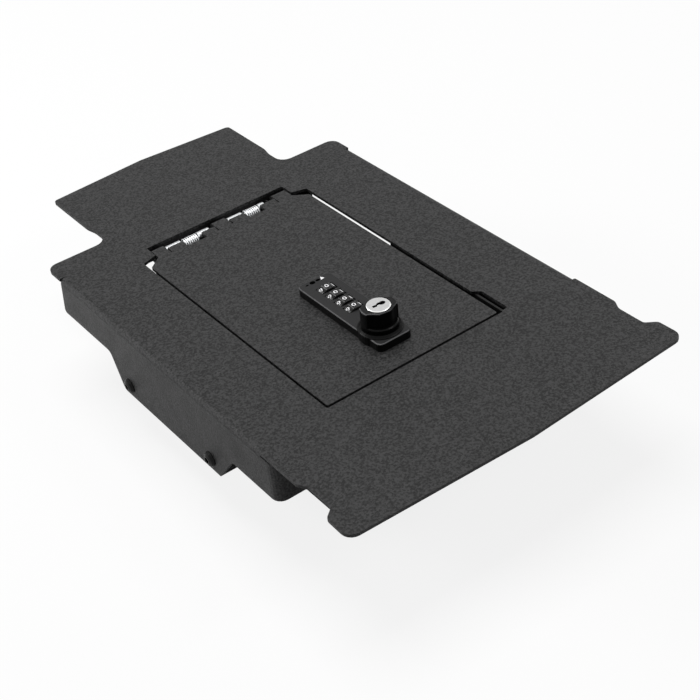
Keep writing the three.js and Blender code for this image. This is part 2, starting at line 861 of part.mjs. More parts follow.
const lidOutline = rounded([
  [lidLeft, lidFront, 1],
  [lidRight, lidFront, 1],
  [lidRight, lidSideRearY, 0.8],
  [lidRight - lidChamferInset, lidChamferRearY, 0],
  [lidRight - lidChamferInset, lidRear, 0],
  [lidLeft + lidChamferInset, lidRear, 0],
  [lidLeft + lidChamferInset, lidChamferRearY, 0],
  [lidLeft, lidSideRearY, 0.8],
]);
const knuckles = lidKnuckles.map((k) => join(
  barrel(k, barrelR),
  box(k[0], k[1], slitFront, hingeY, -sheet, 0),
));
const slits = [
  [lidKnuckles[0][1], 1],
  [lidKnuckles[1][0], -1],
  [lidKnuckles[1][1], 1],
  [lidKnuckles[2][0], -1],
].map(([x, side]) => box(
  Math.min(x, x + side * slitWidth),
  Math.max(x, x + side * slitWidth),
  slitFront,
  hingeY,
  -sheet - 1,
  1,
));
const lidSheet = cut(
  alongZ(lidOutline, -sheet, 0),
  ...slits,
  box(coilNotchLeft[0], coilNotchLeft[1], coilNotchFront, hingeY, -sheet - 1, 1),
  box(coilNotchRight[0], coilNotchRight[1], coilNotchFront, hingeY, -sheet - 1, 1),
);
add('door_panel', cut(
  join(lidSheet, ...knuckles),
  ...lidKnuckles.map(([x0, x1]) => alongX(disc(hingeY, hingeZ, boreR), x0 - 1, x1 + 1)),
  ...lockCutouts(-sheet - 1, 1),
), steel);

// Stiffener pan under the lid

const panTop = -sheet;
const panBottom = panTop - panDepth;
add('door_pan', cut(
  alongZ(rectangle(panLeft, panFront, panRight, panRear, panCorner), panBottom, panTop),
  alongZ(rectangle(
    panLeft + tubSheet,
    panFront + tubSheet,
    panRight - tubSheet,
    panRear - tubSheet,
    panCorner - tubSheet,
  ), panBottom - 1, panTop - tubSheet),
  ...lockCutouts(panBottom - 1, 1),
), innerSteel);

// Lock housing: a bevelled cover round the knob collar and the dial slots, with the case below

const knobX = lockX;
const collarTop = lockHeight + collarHeight;
const cover = new THREE.ExtrudeGeometry(rectangle(
  lockX - lockWidth / 2 + lockBevel,
  lockFront + lockBevel,
  lockX + lockWidth / 2 - lockBevel,
  lockRear - lockBevel,
  lockCorner - lockBevel,
), {
  depth: lockHeight - lockBevel,
  bevelEnabled: true,
  bevelThickness: lockBevel,
  bevelSize: lockBevel,
  bevelSegments: 2,
});
const coverTrim = box(
  lockX - lockWidth,
  lockX + lockWidth,
  lockFront - 5,
  lockRear + 5,
  -5,
  0,
);
const collar = turnedZ([
  [0, 0],
  [collarR, 0],
  [collarR, lockHeight + 0.4],
  [collarR - 0.5, lockHeight + 0.9],
  [grooveR + 0.3, collarTop],
  [0, collarTop],
], knobX, knobY, 0, 40);
const groove = turnedZ([
  [gripR + seat, collarTop - grooveDepth],
  [grooveR, collarTop - grooveDepth],
  [grooveR, collarTop + 1],
  [gripR + seat, collarTop + 1],
  [gripR + seat, collarTop - grooveDepth],
], knobX, knobY, 0, 40);
const dialYs = Array.from({ length: dialCount }, (_, k) => dialFirstY - dialPitch * k);
const lockCase = box(
  dialX - caseHalf,
  dialX + caseHalf,
  caseFront,
  caseRear,
  caseDepth,
  lockHeight / 2,
);
const dialRooms = dialYs.flatMap((y) => [
  box(
    dialX - dialSlotHalf,
    dialX + dialSlotHalf,
    y - dialWidth / 2 - seat,
    y + dialWidth / 2 + seat,
    dialZ,
    collarTop + 5,
  ),
  box(
    dialX - dialR - seat,
    dialX + dialR + seat,
    y - dialWidth / 2 - seat,
    y + dialWidth / 2 + seat,
    caseDepth - 1,
    lockHeight - 2,
  ),
]);
add('lock_housing', cut(
  join(cut(cover, coverTrim), collar, lockCase),
  groove,
  ...dialRooms,
  alongY(disc(dialX, dialZ, axleR + 0.08, 16), caseFront + 0.8, caseRear - 0.8),
  alongZ(disc(knobX, knobY, spindleR + seat), -1, collarTop + 1),
  ...lockScrewYs.map((y) => alongZ(disc(lockX, y, lockScrewR + seat, 12), -1, lockHeight - 1.4)),
), zamak);

// Clamp plate under the pan, and the two screws that pull the lock down on the lid

const clampTop = panTop - tubSheet;
add('lock_clamp', cut(
  alongZ(rectangle(
    lockX - clampHalf,
    clampFront,
    lockX + clampHalf,
    lockRear,
    3,
  ), clampTop - clampThick, clampTop),
  ...lockCutouts(clampTop - clampThick - 1, 1),
), zinc);

const lockScrewHead = 3.4;
const lockScrewHeadHeight = 2.4;
const lockScrewLength = -clampTop + clampThick + lockHeight - 2;
lockScrewYs.forEach((y, k) => {
  add(`lock_screw_${k + 1}`, turnedZ([
    [0, -lockScrewHeadHeight],
    [lockScrewHead * 0.7, -lockScrewHeadHeight],
    [lockScrewHead, -lockScrewHeadHeight * 0.4],
    [lockScrewHead, 0],
    [lockScrewR, 0],
    [lockScrewR, lockScrewLength],
    [0, lockScrewLength],
  ], lockX, y, clampTop - clampThick, 16), blackOxide);
});

// Number dials on their axle, each with a thumb notch between the numbers

add('dial_axle', turnedY([
  [0, 0],
  [axleR, 0],
  [axleR, caseRear - caseFront - 2],
  [0, caseRear - caseFront - 2],
], dialX, caseFront + 1, dialZ, 16), zinc);

function dial(y) {
  const half = dialWidth / 2;
  const wheel = turnedY([
    [axleR + 0.12, -half],
    [dialR - 0.5, -half],
    [dialR, -half + 0.5],
    [dialR, half - 0.5],
    [dialR - 0.5, half],
    [axleR + 0.12, half],
    [axleR + 0.12, -half],
  ], 0, 0, 0, 30);
  const notches = Array.from({ length: dialNotches }, (_, k) => {
    const angle = ((k + 0.5) * 2 * Math.PI) / dialNotches;
    const reach = dialR + 0.25;
    const tool = disc(reach * Math.sin(angle), reach * Math.cos(angle), 0.7, 4);
    return alongY(tool, -half - 1, half + 1);
  });
  return cut(wheel, ...notches);
}

dialYs.forEach((y, k) => {
  const wheel = add(`dial_${k + 1}`, dial(y), zamak);
  wheel.position.set(dialX, y, dialZ);
});

// Knob: a round foot under a winged grip, bored for the key plug

const knob = new THREE.Group();
knob.position.set(knobX, knobY, 0);
knob.rotation.z = THREE.MathUtils.degToRad(gripTurn);
safe.add(knob);

const footBottom = collarTop + seat;
const bossMeet = Math.sqrt(gripBoss * gripBoss - 7.2 * 7.2);

function gripOutline() {
  const quarter = [
    [gripR + 2, gripHalf, 0],
    [gripR - 1.8, gripHalf, 1.2],
    [7.4, bossMeet, 1.5],
    [4.2, gripBoss - 0.6, 3],
  ];
  const left = quarter.map(([x, y, r]) => [-x, y, r]).reverse();
  const top = [...quarter, ...left];
  const bottom = top.map(([x, y, r]) => [-x, -y, r]);
  return rounded([...top, ...bottom]);
}

const gripBevel = 0.6;
const gripBar = new THREE.ExtrudeGeometry(gripOutline(), {
  depth: gripTop - footBottom - 2 * gripBevel,
  bevelEnabled: true,
  bevelThickness: gripBevel,
  bevelSize: gripBevel,
  bevelOffset: -gripBevel,
  bevelSegments: 2,
}).translate(0, 0, footBottom + gripBevel);
const gripRound = turnedZ([
  [0, 0],
  [gripR, 0],
  [gripR, gripTop - footBottom - 0.6],
  [gripR - 0.6, gripTop - footBottom],
  [0, gripTop - footBottom],
], 0, 0, footBottom, 48);
const gripFootDisc = turnedZ([
  [0, 0],
  [gripR - 0.3, 0],
  [gripR, 0.3],
  [gripR, gripFoot - 0.8],
  [gripR - 0.8, gripFoot],
  [0, gripFoot],
], 0, 0, footBottom, 48);
const keySeat = gripTop - keyDiscThick;
add('lock_knob', cut(
  join(solid(gripBar).intersect(solid(gripRound)), gripFootDisc),
  alongZ(disc(0, 0, keyDiscR + seat, 32), keySeat, gripTop + 1),
  alongZ(disc(0, 0, keyPlugR + seat, 24), keySeat - keyPlugLength - seat, keySeat + 1),
), blackOxide, knob);

// Key plug with its zigzag keyway

const keyway = rounded([
  [-4.4, -1.5, 0],
  [-1.7, -1.5, 0],
  [-0.9, -0.4, 0],
  [4.4, -1, 0],
  [4.4, 1.6, 0],
  [0.4, 1.9, 0],
  [-1.8, 0.6, 0],
  [-4.4, 0.6, 0],
]);
add('key_cylinder', cut(
  turnedZ([
    [0, keySeat - keyPlugLength],
    [keyPlugR, keySeat - keyPlugLength],
    [keyPlugR, keySeat + seat],
    [keyDiscR, keySeat + seat],
    [keyDiscR, gripTop + 0.2],
    [keyDiscR - 0.4, gripTop + 0.6],
    [0, gripTop + 0.6],
  ], 0, 0, 0, 40),
  alongZ(keyway, gripTop - 6, gripTop + 2),
), chrome, knob);

// Spindle down through the lid, its cam and nut

const spindle = new THREE.Group();
spindle.position.set(knobX, knobY, 0);
safe.add(spindle);

const camBottom = camTop - camThick;
add('lock_spindle', turnedZ([
  [0, camBottom - camNutThick - 1.5],
  [spindleEndR - 0.6, camBottom - camNutThick - 1.5],
  [spindleEndR, camBottom - camNutThick - 0.9],
  [spindleEndR, camTop],
  [spindleR, camTop],
  [spindleR, footBottom],
  [0, footBottom],
], 0, 0, 0, 24), zinc, spindle);

const camShape = rounded([
  [-camHalf, -camHalf, camHalf - 0.5],
  [camLength + camHalf, -camHalf, camHalf - 3],
  [camLength + camHalf, camHalf, camHalf - 3],
  [-camHalf, camHalf, camHalf - 0.5],
]);
camShape.holes.push(new THREE.Path(disc(0, 0, spindleEndR + seat, 20).getPoints()));
add('lock_cam', alongZ(camShape, camBottom, camTop), zinc, spindle);

const camNut = hexagon(0, 0, camNutAcross);
camNut.holes.push(new THREE.Path(disc(0, 0, spindleEndR + seat, 20).getPoints()));
add('cam_nut', alongZ(camNut, camBottom - camNutThick, camBottom), zinc, spindle);

export default safe;
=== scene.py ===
"""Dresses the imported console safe: materials, numbers, coils, softened edges, light and camera."""

import json
import math

import bpy
from mathutils import Matrix, Vector


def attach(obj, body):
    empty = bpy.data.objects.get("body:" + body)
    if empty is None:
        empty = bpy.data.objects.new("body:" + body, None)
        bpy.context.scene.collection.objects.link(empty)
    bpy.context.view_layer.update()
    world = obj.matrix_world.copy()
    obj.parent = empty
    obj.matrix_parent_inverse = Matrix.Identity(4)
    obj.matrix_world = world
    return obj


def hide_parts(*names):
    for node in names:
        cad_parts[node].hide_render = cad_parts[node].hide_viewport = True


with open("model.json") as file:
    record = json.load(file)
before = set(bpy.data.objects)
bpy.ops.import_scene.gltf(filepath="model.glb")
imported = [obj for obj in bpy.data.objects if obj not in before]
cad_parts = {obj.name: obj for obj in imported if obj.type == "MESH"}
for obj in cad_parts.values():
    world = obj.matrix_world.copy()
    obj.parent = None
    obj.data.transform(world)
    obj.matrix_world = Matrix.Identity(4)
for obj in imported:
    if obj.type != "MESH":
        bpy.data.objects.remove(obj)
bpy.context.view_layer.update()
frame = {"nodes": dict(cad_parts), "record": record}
nodes = frame["nodes"]
scene = bpy.context.scene

MM = 0.001
# The plate's own datum in the row frame: its centre line and its top face.
DATUM = Vector((0, -3.45, 89)) * MM


def at(x, y, z):
    """A point given in millimetres from the plate's datum, in the row frame."""
    return Vector((x, y, z)) * MM + DATUM


# Camera: the view solved from the photograph's straight edges

LENS_MM = 74.03
SENSOR_MM = 36
CLIP_START = 0.05
CLIP_END = 50
CAMERA_MM = (-429.89, -696.15, 553.47)
CAMERA_RIGHT = (0.79346, -0.60181, -0.09083)
CAMERA_UP = (0.42359, 0.43889, 0.79243)
CAMERA_BACK = (-0.43703, -0.66723, 0.60316)

camera_data = bpy.data.cameras.new("camera")
camera_data.lens = LENS_MM
camera_data.sensor_width = SENSOR_MM
camera_data.clip_start = CLIP_START
camera_data.clip_end = CLIP_END
camera = bpy.data.objects.new("camera", camera_data)
scene.collection.objects.link(camera)
turn = Matrix((CAMERA_RIGHT, CAMERA_UP, CAMERA_BACK)).transposed().to_4x4()
camera.matrix_world = Matrix.Translation(at(*CAMERA_MM)) @ turn
scene.camera = camera


# Materials: colours, and the parts that a shader is built from

# A colour mix node has sockets of one name for each kind of data: these are the colour ones.
MIX_LOW = 6
MIX_HIGH = 7
MIX_RESULT = 2
BLUE_TINT = 1.01


def grey(level):
    """A neutral colour from an sRGB level of 0 to 255."""
    c = level / 255
    linear = c / 12.92 if c <= 0.04045 else ((c + 0.055) / 1.055) ** 2.4
    return (linear, linear, linear * BLUE_TINT)


class Nodes:
    """A material being built: its Principled shader and object coordinates."""

    def __init__(self, name):
        self.material = bpy.data.materials.new(name)
        self.material.use_nodes = True
        self.tree = self.material.node_tree
        self.shader = self.tree.nodes["Principled BSDF"]
        self.coords = self.add("ShaderNodeTexCoord").outputs["Object"]

    def add(self, kind, **values):
        """A new node, with each value set on its socket, or on the node where it has none."""
        node = self.tree.nodes.new(kind)
        for key, value in values.items():
            if key in node.inputs:
                node.inputs[key].default_value = value
            else:
                setattr(node, key, value)
        return node

    def link(self, a, b):
        self.tree.links.new(a, b)

    def noise(self, scale, detail=3, roughness=0.55, stretch=None):
        node = self.add("ShaderNodeTexNoise", Scale=scale, Detail=detail, Roughness=roughness)
        source = self.coords
        if stretch:
            mapping = self.add("ShaderNodeMapping", Scale=stretch)
            self.link(source, mapping.inputs["Vector"])
            source = mapping.outputs["Vector"]
        self.link(source, node.inputs["Vector"])
        return node.outputs["Fac"]

    def span(self, value, low, high, start=0.3, end=0.7):
        """value, taken from start..end, made into low..high."""
        node = self.add("ShaderNodeMapRange")
        for key, number in (
            ("From Min", start),
            ("From Max", end),
            ("To Min", low),
            ("To Max", high),
        ):
            node.inputs[key].default_value = number
        self.link(value, node.inputs["Value"])
        return node.outputs["Result"]

    def mix(self, fac, low, high, **values):
        """low where fac is 0 and high where it is 1: each is a colour or a node's output."""
        node = self.add("ShaderNodeMix", data_type="RGBA", **values)
        if fac is not None:
            self.link(fac, node.inputs["Factor"])
        for socket, color in ((MIX_LOW, low), (MIX_HIGH, high)):
            if isinstance(color, tuple):
                node.inputs[socket].default_value = (*color, 1)
            else:
                self.link(color, node.inputs[socket])
        return node.outputs[MIX_RESULT]

    def part(self, vector, axis):
        """One coordinate of a vector."""
        split = self.add("ShaderNodeSeparateXYZ")
        self.link(vector, split.inputs[0])
        return split.outputs[axis]

    def distance(self, centre, radii=(1, 1)):
        """How far the upright line through centre is, measured in radii."""
        away = self.add("ShaderNodeMapping")
        away.inputs["Scale"].default_value = (1 / radii[0], 1 / radii[1], 0)
        away.inputs["Location"].default_value = (-centre[0] / radii[0], -centre[1] / radii[1], 0)
        self.link(self.coords, away.inputs["Vector"])
        length = self.add("ShaderNodeVectorMath", operation="LENGTH")
        self.link(away.outputs["Vector"], length.inputs[0])
        return length.outputs["Value"]

    def bump(self, height, strength, distance, before=None):
        node = self.add("ShaderNodeBump", Strength=strength, Distance=distance)
        self.link(height, node.inputs["Height"])
        if before:
            self.link(before, node.inputs["Normal"])
        return node.outputs["Normal"]

    def finish(self, color, rough, normal, metal=0.0, specular=0.5):
        self.shader.inputs["Metallic"].default_value = metal
        self.shader.inputs["Specular IOR Level"].default_value = specular
        for key, value in (("Base Color", color), ("Roughness", rough), ("Normal", normal)):
            self.link(value, self.shader.inputs[key])
        return self.material


# Materials: the kinds of surface

ROUGH_SWING = 0.05
BROAD_SHARE = 9  # how many grains the broad clouding spans
METAL_BUMP = 0.0001

# The coating's colour is four layers of noise, each with its weight. The flecks are sparse,
# so their span lies high in the noise.
FINE_WEIGHT = 0.78
FINE_SPAN = (0.42, 0.59)
BROAD_WEIGHT = 0.12
MIDDLE_WEIGHT = 0.16
MIDDLE_SHARE = 3
FLECK_WEIGHT = 0.9
FLECK_SPAN = (0.6, 0.7)
FLECK_SCALE = 0.6
FINE_DEPTH = 0.18  # of one grain
BROAD_DEPTH = 0.0004
BROAD_STRENGTH = 0.4


def painted(name, low, high, rough, grain, strength, specular):
    """Matt paint with a fine grain: grain in bumps per metre."""
    m = Nodes(name)
    fine = m.noise(grain, detail=4, roughness=0.6)
    broad = m.noise(grain / BROAD_SHARE, detail=2)
    blend = m.span(fine, 0, FINE_WEIGHT, *FINE_SPAN)
    for layer in (
        m.span(broad, 0, BROAD_WEIGHT),
        m.span(m.noise(grain / MIDDLE_SHARE, detail=3), 0, MIDDLE_WEIGHT),
        m.span(m.noise(grain * FLECK_SCALE, detail=2), 0, FLECK_WEIGHT, *FLECK_SPAN),
    ):
        total = m.add("ShaderNodeMath", operation="ADD")
        m.link(blend, total.inputs[0])
        m.link(layer, total.inputs[1])
        blend = total.outputs[0]
    grains = m.bump(fine, strength, FINE_DEPTH / grain)
    return m.finish(
        m.mix(blend, low, high),
        m.span(broad, rough - ROUGH_SWING, rough + ROUGH_SWING),
        m.bump(broad, strength * BROAD_STRENGTH, BROAD_DEPTH, grains),
        specular=specular,
    )


# Light and shade are painted on the lock by which way each surface faces: walls painted black as
# shade, level faces painted paler as sheen, and a painted highlight on the edges toward the left and
# front. On such an edge the colour follows how far the surface faces up: walls first, then the
# edge highlight, and the level face last.
HIGHLIGHT_SIDE = (-0.8, -0.6, 0)
HIGHLIGHT_SIDE_SPAN = (0.0, 0.2)
WALL_UNTIL = 0.22
EDGE_BETWEEN = (0.4, 0.92)
FACE_FROM = 0.985
PLAIN_SPAN = (0.3, 0.8)  # the same from wall to face, where no edge highlight is painted
CLOUD_LOW = grey(225)
CLOUD_HIGH = grey(255)
MOULDED_BUMP = 0.1


def moulded(name, wall, edge, face, rough, grain, specular, shaded_below, ring=None):
    """Satin black casting with painted light: walls painted black as shade, a face painted paler as
    sheen, and painted highlights on edges above the heights in shaded_below, below which all is
    painted wall shade. ring is a centre and two radii, inside which all takes the walls' painted
    shade."""
    m = Nodes(name)
    normal = m.add("ShaderNodeTexCoord").outputs["Normal"]
    upward = m.part(normal, "Z")
    side = m.add("ShaderNodeVectorMath", operation="DOT_PRODUCT")
    side.inputs[1].default_value = HIGHLIGHT_SIDE
    m.link(normal, side.inputs[0])
    fine = m.noise(grain, detail=3)
    broad = m.noise(grain / BROAD_SHARE, detail=2)
    # Painted shade on walls, painted highlight on edges and painted sheen on level faces, by how far
    # each faces up
    ramp = m.add("ShaderNodeValToRGB")
    stops = ramp.color_ramp.elements
    stops[0].position = WALL_UNTIL
    stops[0].color = (*wall, 1)
    stops[1].position = FACE_FROM
    stops[1].color = (*face, 1)
    for place in EDGE_BETWEEN:
        stops.new(place).color = (*edge, 1)
    m.link(upward, ramp.inputs["Fac"])
    plain = m.mix(m.span(upward, 0, 1, *PLAIN_SPAN), wall, face)
    # The edge highlight is painted only on the sides facing left and front
    highlighted_side = m.span(side.outputs["Value"], 0, 1, *HIGHLIGHT_SIDE_SPAN)
    color = m.mix(highlighted_side, plain, ramp.outputs["Color"])
    # Below the heights in shaded_below, all is painted wall shade
    color = m.mix(m.span(m.part(m.coords, "Z"), 0, 1, *shaded_below), wall, color)
    # Inside the collar's ring, all is painted wall shade too
    if ring:
        centre, radii = ring
        color = m.mix(m.span(m.distance(centre), 0, 1, *radii), wall, color)
    cloud = m.mix(m.span(fine, 0, 1), CLOUD_LOW, CLOUD_HIGH)
    return m.finish(
        m.mix(None, color, cloud, blend_type="MULTIPLY", Factor=1.0),
        m.span(broad, rough - ROUGH_SWING, rough + ROUGH_SWING),
        m.bump(fine, MOULDED_BUMP, METAL_BUMP),
        specular=specular,
    )


CLOUD_GRAIN = 90
PLATED_SWING = (0.06, 0.08)
PLATED_BUMP = 0.08


def plated(name, low, high, rough, grain, metal=1.0):
    """Plated metal with a fine cloudy variation."""
    m = Nodes(name)
    fine = m.noise(grain, detail=3)
    broad = m.noise(CLOUD_GRAIN, detail=3)
    return m.finish(
        m.mix(m.span(broad, 0, 1), low, high),
        m.span(fine, rough - PLATED_SWING[0], rough + PLATED_SWING[1]),
        m.bump(fine, PLATED_BUMP, METAL_BUMP),
        metal,
    )


# The dark painted as shade down in the key's slot and round its mouth
SLOT_SHADE = grey(10)
BRUSHED_GRAIN = 1400
BRUSHED_STRETCH = (1, 5, 1)
BRUSHED_ROUGH = (0.3, 0.42)
BRUSHED_BUMP = 0.1
DULL_GRAIN = 420
DULL_SHARE = 0.9
MOUTH_SPAN = (0.92, 1.04)


def turned_disc(name, face, rim, centre, radii, depths, mouth, mouth_radii):
    """A turned metal disc about an upright axis: brushed face, paler rim, and painted shade below
    the depths and inside the oval mouth."""
    m = Nodes(name)
    ring = m.span(m.distance(centre), 0, 1, *radii)
    fine = m.noise(BRUSHED_GRAIN, detail=3, stretch=BRUSHED_STRETCH)
    cloudy = m.noise(DULL_GRAIN, detail=3)
    dull = m.mix(m.span(cloudy, 0, 1), tuple(c * DULL_SHARE for c in face), face)
    color = m.mix(ring, dull, rim)
    # Painted shade down in the slot and in the oval round its mouth
    color = m.mix(m.span(m.part(m.coords, "Z"), 0, 1, *depths), SLOT_SHADE, color)
    color = m.mix(m.span(m.distance(mouth, mouth_radii), 0, 1, *MOUTH_SPAN), SLOT_SHADE, color)
    return m.finish(
        color,
        m.span(fine, *BRUSHED_ROUGH),
        m.bump(fine, BRUSHED_BUMP, METAL_BUMP),
        1.0,
    )


# Materials of the part: low and high colour, roughness, grain, bump strength and specular

POWDER = painted("powder_coat", grey(1), grey(56), 0.5, 680, 1.0, 0.2)
INNER = painted("inner_paint", grey(20), grey(28), 0.6, 600, 0.5, 0.25)
SCREW = painted("screw_black", grey(5), grey(9), 0.26, 1800, 0.08, 0.16)
DIAL = painted("dial_black", grey(10), grey(14), 0.34, 1800, 0.1, 0.26)
RUBBER = painted("bumper_rubber", grey(18), grey(24), 0.8, 900, 0.25, 0.3)
PAINT_WHITE = painted("number_white", grey(240), grey(250), 0.5, 900, 0.05, 0.4)
# Dark for the printed marks, and for the painted shade in the keyway
PRINT_AND_SHADE_DARK = painted("mark_and_shade_black", grey(3), grey(6), 0.9, 900, 0.05, 0.0)
ZINC = plated("zinc_plate", (0.56, 0.57, 0.58), (0.68, 0.69, 0.70), rough=0.36, grain=700)
WIRE = plated(
    "coil_wire",
    (0.78, 0.79, 0.80),
    (0.86, 0.87, 0.88),
    rough=0.34,
    grain=900,
    metal=0.8,
)

# The key cylinder stands in the knob's middle, which is found in its own coordinates.
key_points = [v.co for v in nodes["key_cylinder"].data.vertices]
key_middle = [
    (min(v[i] for v in key_points) + max(v[i] for v in key_points)) / 2 for i in range(2)
]
key_radius = (max(v[0] for v in key_points) - min(v[0] for v in key_points)) / 2
key_top = max(v[2] for v in key_points)

# The heights in millimetres between which the painted face and edge highlights set in above the
# painted wall shade, and where the collar's ring of painted shade ends
COVER_SHADED_BELOW = (4.9, 5.2)
KNOB_SHADED_BELOW_KEY = (3.2, 2.4)
COLLAR_RING = (15.1, 15.4)
# The key disc's paler rim and its slot painted dark as shade, inward and down from its own edge and
# top
RIM_INSET = (0.7, 0.4)
SLOT_DEPTHS = (0.7, 0.5)
# An oval of painted shade round the keyway's mouth: its middle from the key's middle, and its radii
MOUTH_FROM_KEY = (2.9, -0.1)
MOUTH_RADII = (2.5, 1.9)

# Lock and knob carry painted light: black walls as shade, paler faces as sheen, lighter edges as
# highlights
LOCK = moulded(
    "lock_black",
    wall=grey(2),
    edge=grey(104),
    face=grey(44),
    rough=0.4,
    grain=1500,
    specular=0.12,
    shaded_below=[DATUM.z + z * MM for z in COVER_SHADED_BELOW],
    ring=(key_middle, [radius * MM for radius in COLLAR_RING]),
)
KNOB = moulded(
    "knob_black",
    wall=grey(2),
    edge=grey(90),
    face=grey(30),
    rough=0.34,
    grain=1600,
    specular=0.1,
    shaded_below=[key_top - depth * MM for depth in KNOB_SHADED_BELOW_KEY],
)
KEY = turned_disc(
    "key_nickel",
    face=(0.60, 0.60, 0.60),
    rim=(0.92, 0.92, 0.91),
    centre=key_middle,
    radii=[key_radius - inset * MM for inset in RIM_INSET],
    depths=[key_top - depth * MM for depth in SLOT_DEPTHS],
    mouth=[middle + way * MM for middle, way in zip(key_middle, MOUTH_FROM_KEY)],
    mouth_radii=[radius * MM for radius in MOUTH_RADII],
)

LOOKS = {
    "powder_coat": POWDER,
    "inner_paint": INNER,
    "zinc_plate": ZINC,
    "black_oxide": SCREW,
    "lock_black": LOCK,
    "knob_black": KNOB,
    "key_nickel": KEY,
    "bumper_rubber": RUBBER,
}


# CAD nodes: materials, softened edges and smooth rounds

SMOOTH_BELOW = math.radians(38)
BEVEL_ABOVE = math.radians(50)
BEVEL_SEGMENTS = 2


def smoother():
    """A node group that shades smooth across edges flatter than a limit."""
    group = bpy.data.node_groups.new("smooth_by_angle", "GeometryNodeTree")
    group.is_modifier = True
    for way in ("INPUT", "OUTPUT"):
        group.interface.new_socket("Geometry", in_out=way, socket_type="NodeSocketGeometry")
    make = group.nodes.new
    source = make("NodeGroupInput")
    result = make("NodeGroupOutput")
    angle = make("GeometryNodeInputMeshEdgeAngle")
    flat = make("FunctionNodeCompare")
    flat.data_type = "FLOAT"
    flat.operation = "LESS_EQUAL"
    flat.inputs["B"].default_value = SMOOTH_BELOW
    edges = make("GeometryNodeSetShadeSmooth")
    edges.domain = "EDGE"
    faces = make("GeometryNodeSetShadeSmooth")
    faces.domain = "FACE"
    link = group.links.new
    link(angle.outputs["Unsigned Angle"], flat.inputs["A"])
    link(source.outputs["Geometry"], faces.inputs["Geometry"])
    link(faces.outputs["Geometry"], edges.inputs["Geometry"])
    link(flat.outputs["Result"], edges.inputs["Shade Smooth"])
    link(edges.outputs["Geometry"], result.inputs["Geometry"])
    return group


SMOOTH = smoother()


def soften(obj, width_mm):
    """Smooth rounds, and edges bevelled by a width where it isn't 0."""
    if width_mm:
        bevel = obj.modifiers.new("edges", "BEVEL")
        bevel.width = width_mm * MM
        bevel.segments = BEVEL_SEGMENTS
        bevel.limit_method = "ANGLE"
        bevel.angle_limit = BEVEL_ABOVE
        bevel.use_clamp_overlap = True
    shading = obj.modifiers.new("shading", "NODES")
    shading.node_group = SMOOTH
    if width_mm:
        flats = obj.modifiers.new("flats", "WEIGHTED_NORMAL")
        flats.keep_sharp = True


DEFAULT_EDGE_MM = 0.15
EDGE_MM = {
    "face_plate": 0.3,
    "door_panel": 0.3,
    "lock_housing": 0.4,
    "lock_knob": 0.4,
    "key_cylinder": 0.1,
    "hinge_leaf_left": 0.2,
    "hinge_leaf_right": 0.2,
}
SLOTS = {row["node"]: row["material_slot"] for row in frame["record"]["subparts"]}
for name, node in nodes.items():
    material = LOOKS[SLOTS[name]]
    if name.startswith("dial_") and name != "dial_axle":
        material = DIAL
    if name == "pin_clip":
        material = SCREW
    node.data.materials.clear()
    node.data.materials.append(material)
    soften(node, EDGE_MM.get(name, DEFAULT_EDGE_MM))


# New pieces


def mesh_piece(name, vertices, faces, material, body, slot, width_mm=0):
    """A piece of its own mesh that rides on a body."""
    mesh = bpy.data.meshes.new(name)
    mesh.from_pydata([tuple(v) for v in vertices], [], faces)
    mesh.validate()
    obj = bpy.data.objects.new(name, mesh)
    scene.collection.objects.link(obj)
    mesh.materials.append(material)
    soften(obj, width_mm)
    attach(obj, body)
    return obj


def tube(points, radius, sides=12):
    """Vertices and faces of a capped tube through the points."""
    vertices, faces = [], []
    count = len(points)
    side = None
    for i, point in enumerate(points):
        ahead = points[min(i + 1, count - 1)] - points[max(i - 1, 0)]
        ahead.normalize()
        if side is None:
            side = ahead.orthogonal().normalized()
        side = (side - ahead * side.dot(ahead)).normalized()
        other = ahead.cross(side)
        for k in range(sides):
            angle = 2 * math.pi * k / sides
            vertices.append(point + (side * math.cos(angle) + other * math.sin(angle)) * radius)
    for i in range(count - 1):
        for k in range(sides):
            a = i * sides + k
            b = i * sides + (k + 1) % sides
            faces.append((a, b, b + sides, a + sides))
    faces.append(tuple(reversed(range(sides))))
    faces.append(tuple(range((count - 1) * sides, count * sides)))
    return vertices, faces


# Torsion coils of the same wire as the solids that they replace, but wound wider: they hang
# loose round the pin. One end reaches forward under the lid, the other is a tail at the back.

COIL_SPANS = {"left": (-38.3, -25.2), "right": (15.4, 28.5)}
COIL_Y = 105.7
COIL_Z = -5.2
WIRE_R = 0.45
COIL_R = 4.75
COIL_TURNS = 7
COIL_STEPS = 30
LID_SHEET = 2.3
LEG_GAP = 0.3
LEG_STEPS = 6
COIL_REACH = 10.7
COIL_DROP = -LID_SHEET - LEG_GAP - WIRE_R - COIL_Z
COIL_TILT = math.asin(COIL_R / math.hypot(COIL_REACH, COIL_DROP))
COIL_TILT += math.atan2(COIL_DROP, COIL_REACH)
TAIL_START = math.radians(-62)
TAIL_END = (111.1, -7.4)


def coil_points(x0, x1):
    """The wire's middle line: tail, turns from x0 to x1, and leg."""
    x0 += WIRE_R
    x1 -= WIRE_R
    whole = 2 * math.pi * COIL_TURNS + COIL_TILT - TAIL_START
    points = [at(x0, *TAIL_END)]
    steps = COIL_TURNS * COIL_STEPS
    for k in range(steps + 1):
        angle = TAIL_START + whole * k / steps
        points.append(at(
            x0 + (x1 - x0) * k / steps,
            COIL_Y - COIL_R * math.sin(angle),
            COIL_Z - COIL_R * math.cos(angle),
        ))
    leg = COIL_REACH / math.cos(COIL_TILT) - COIL_R * math.tan(COIL_TILT)
    ahead = Vector((0, -math.cos(COIL_TILT), math.sin(COIL_TILT))) * leg * MM
    start = points[-1]
    points += [start + ahead * k / LEG_STEPS for k in range(1, LEG_STEPS + 1)]
    return points


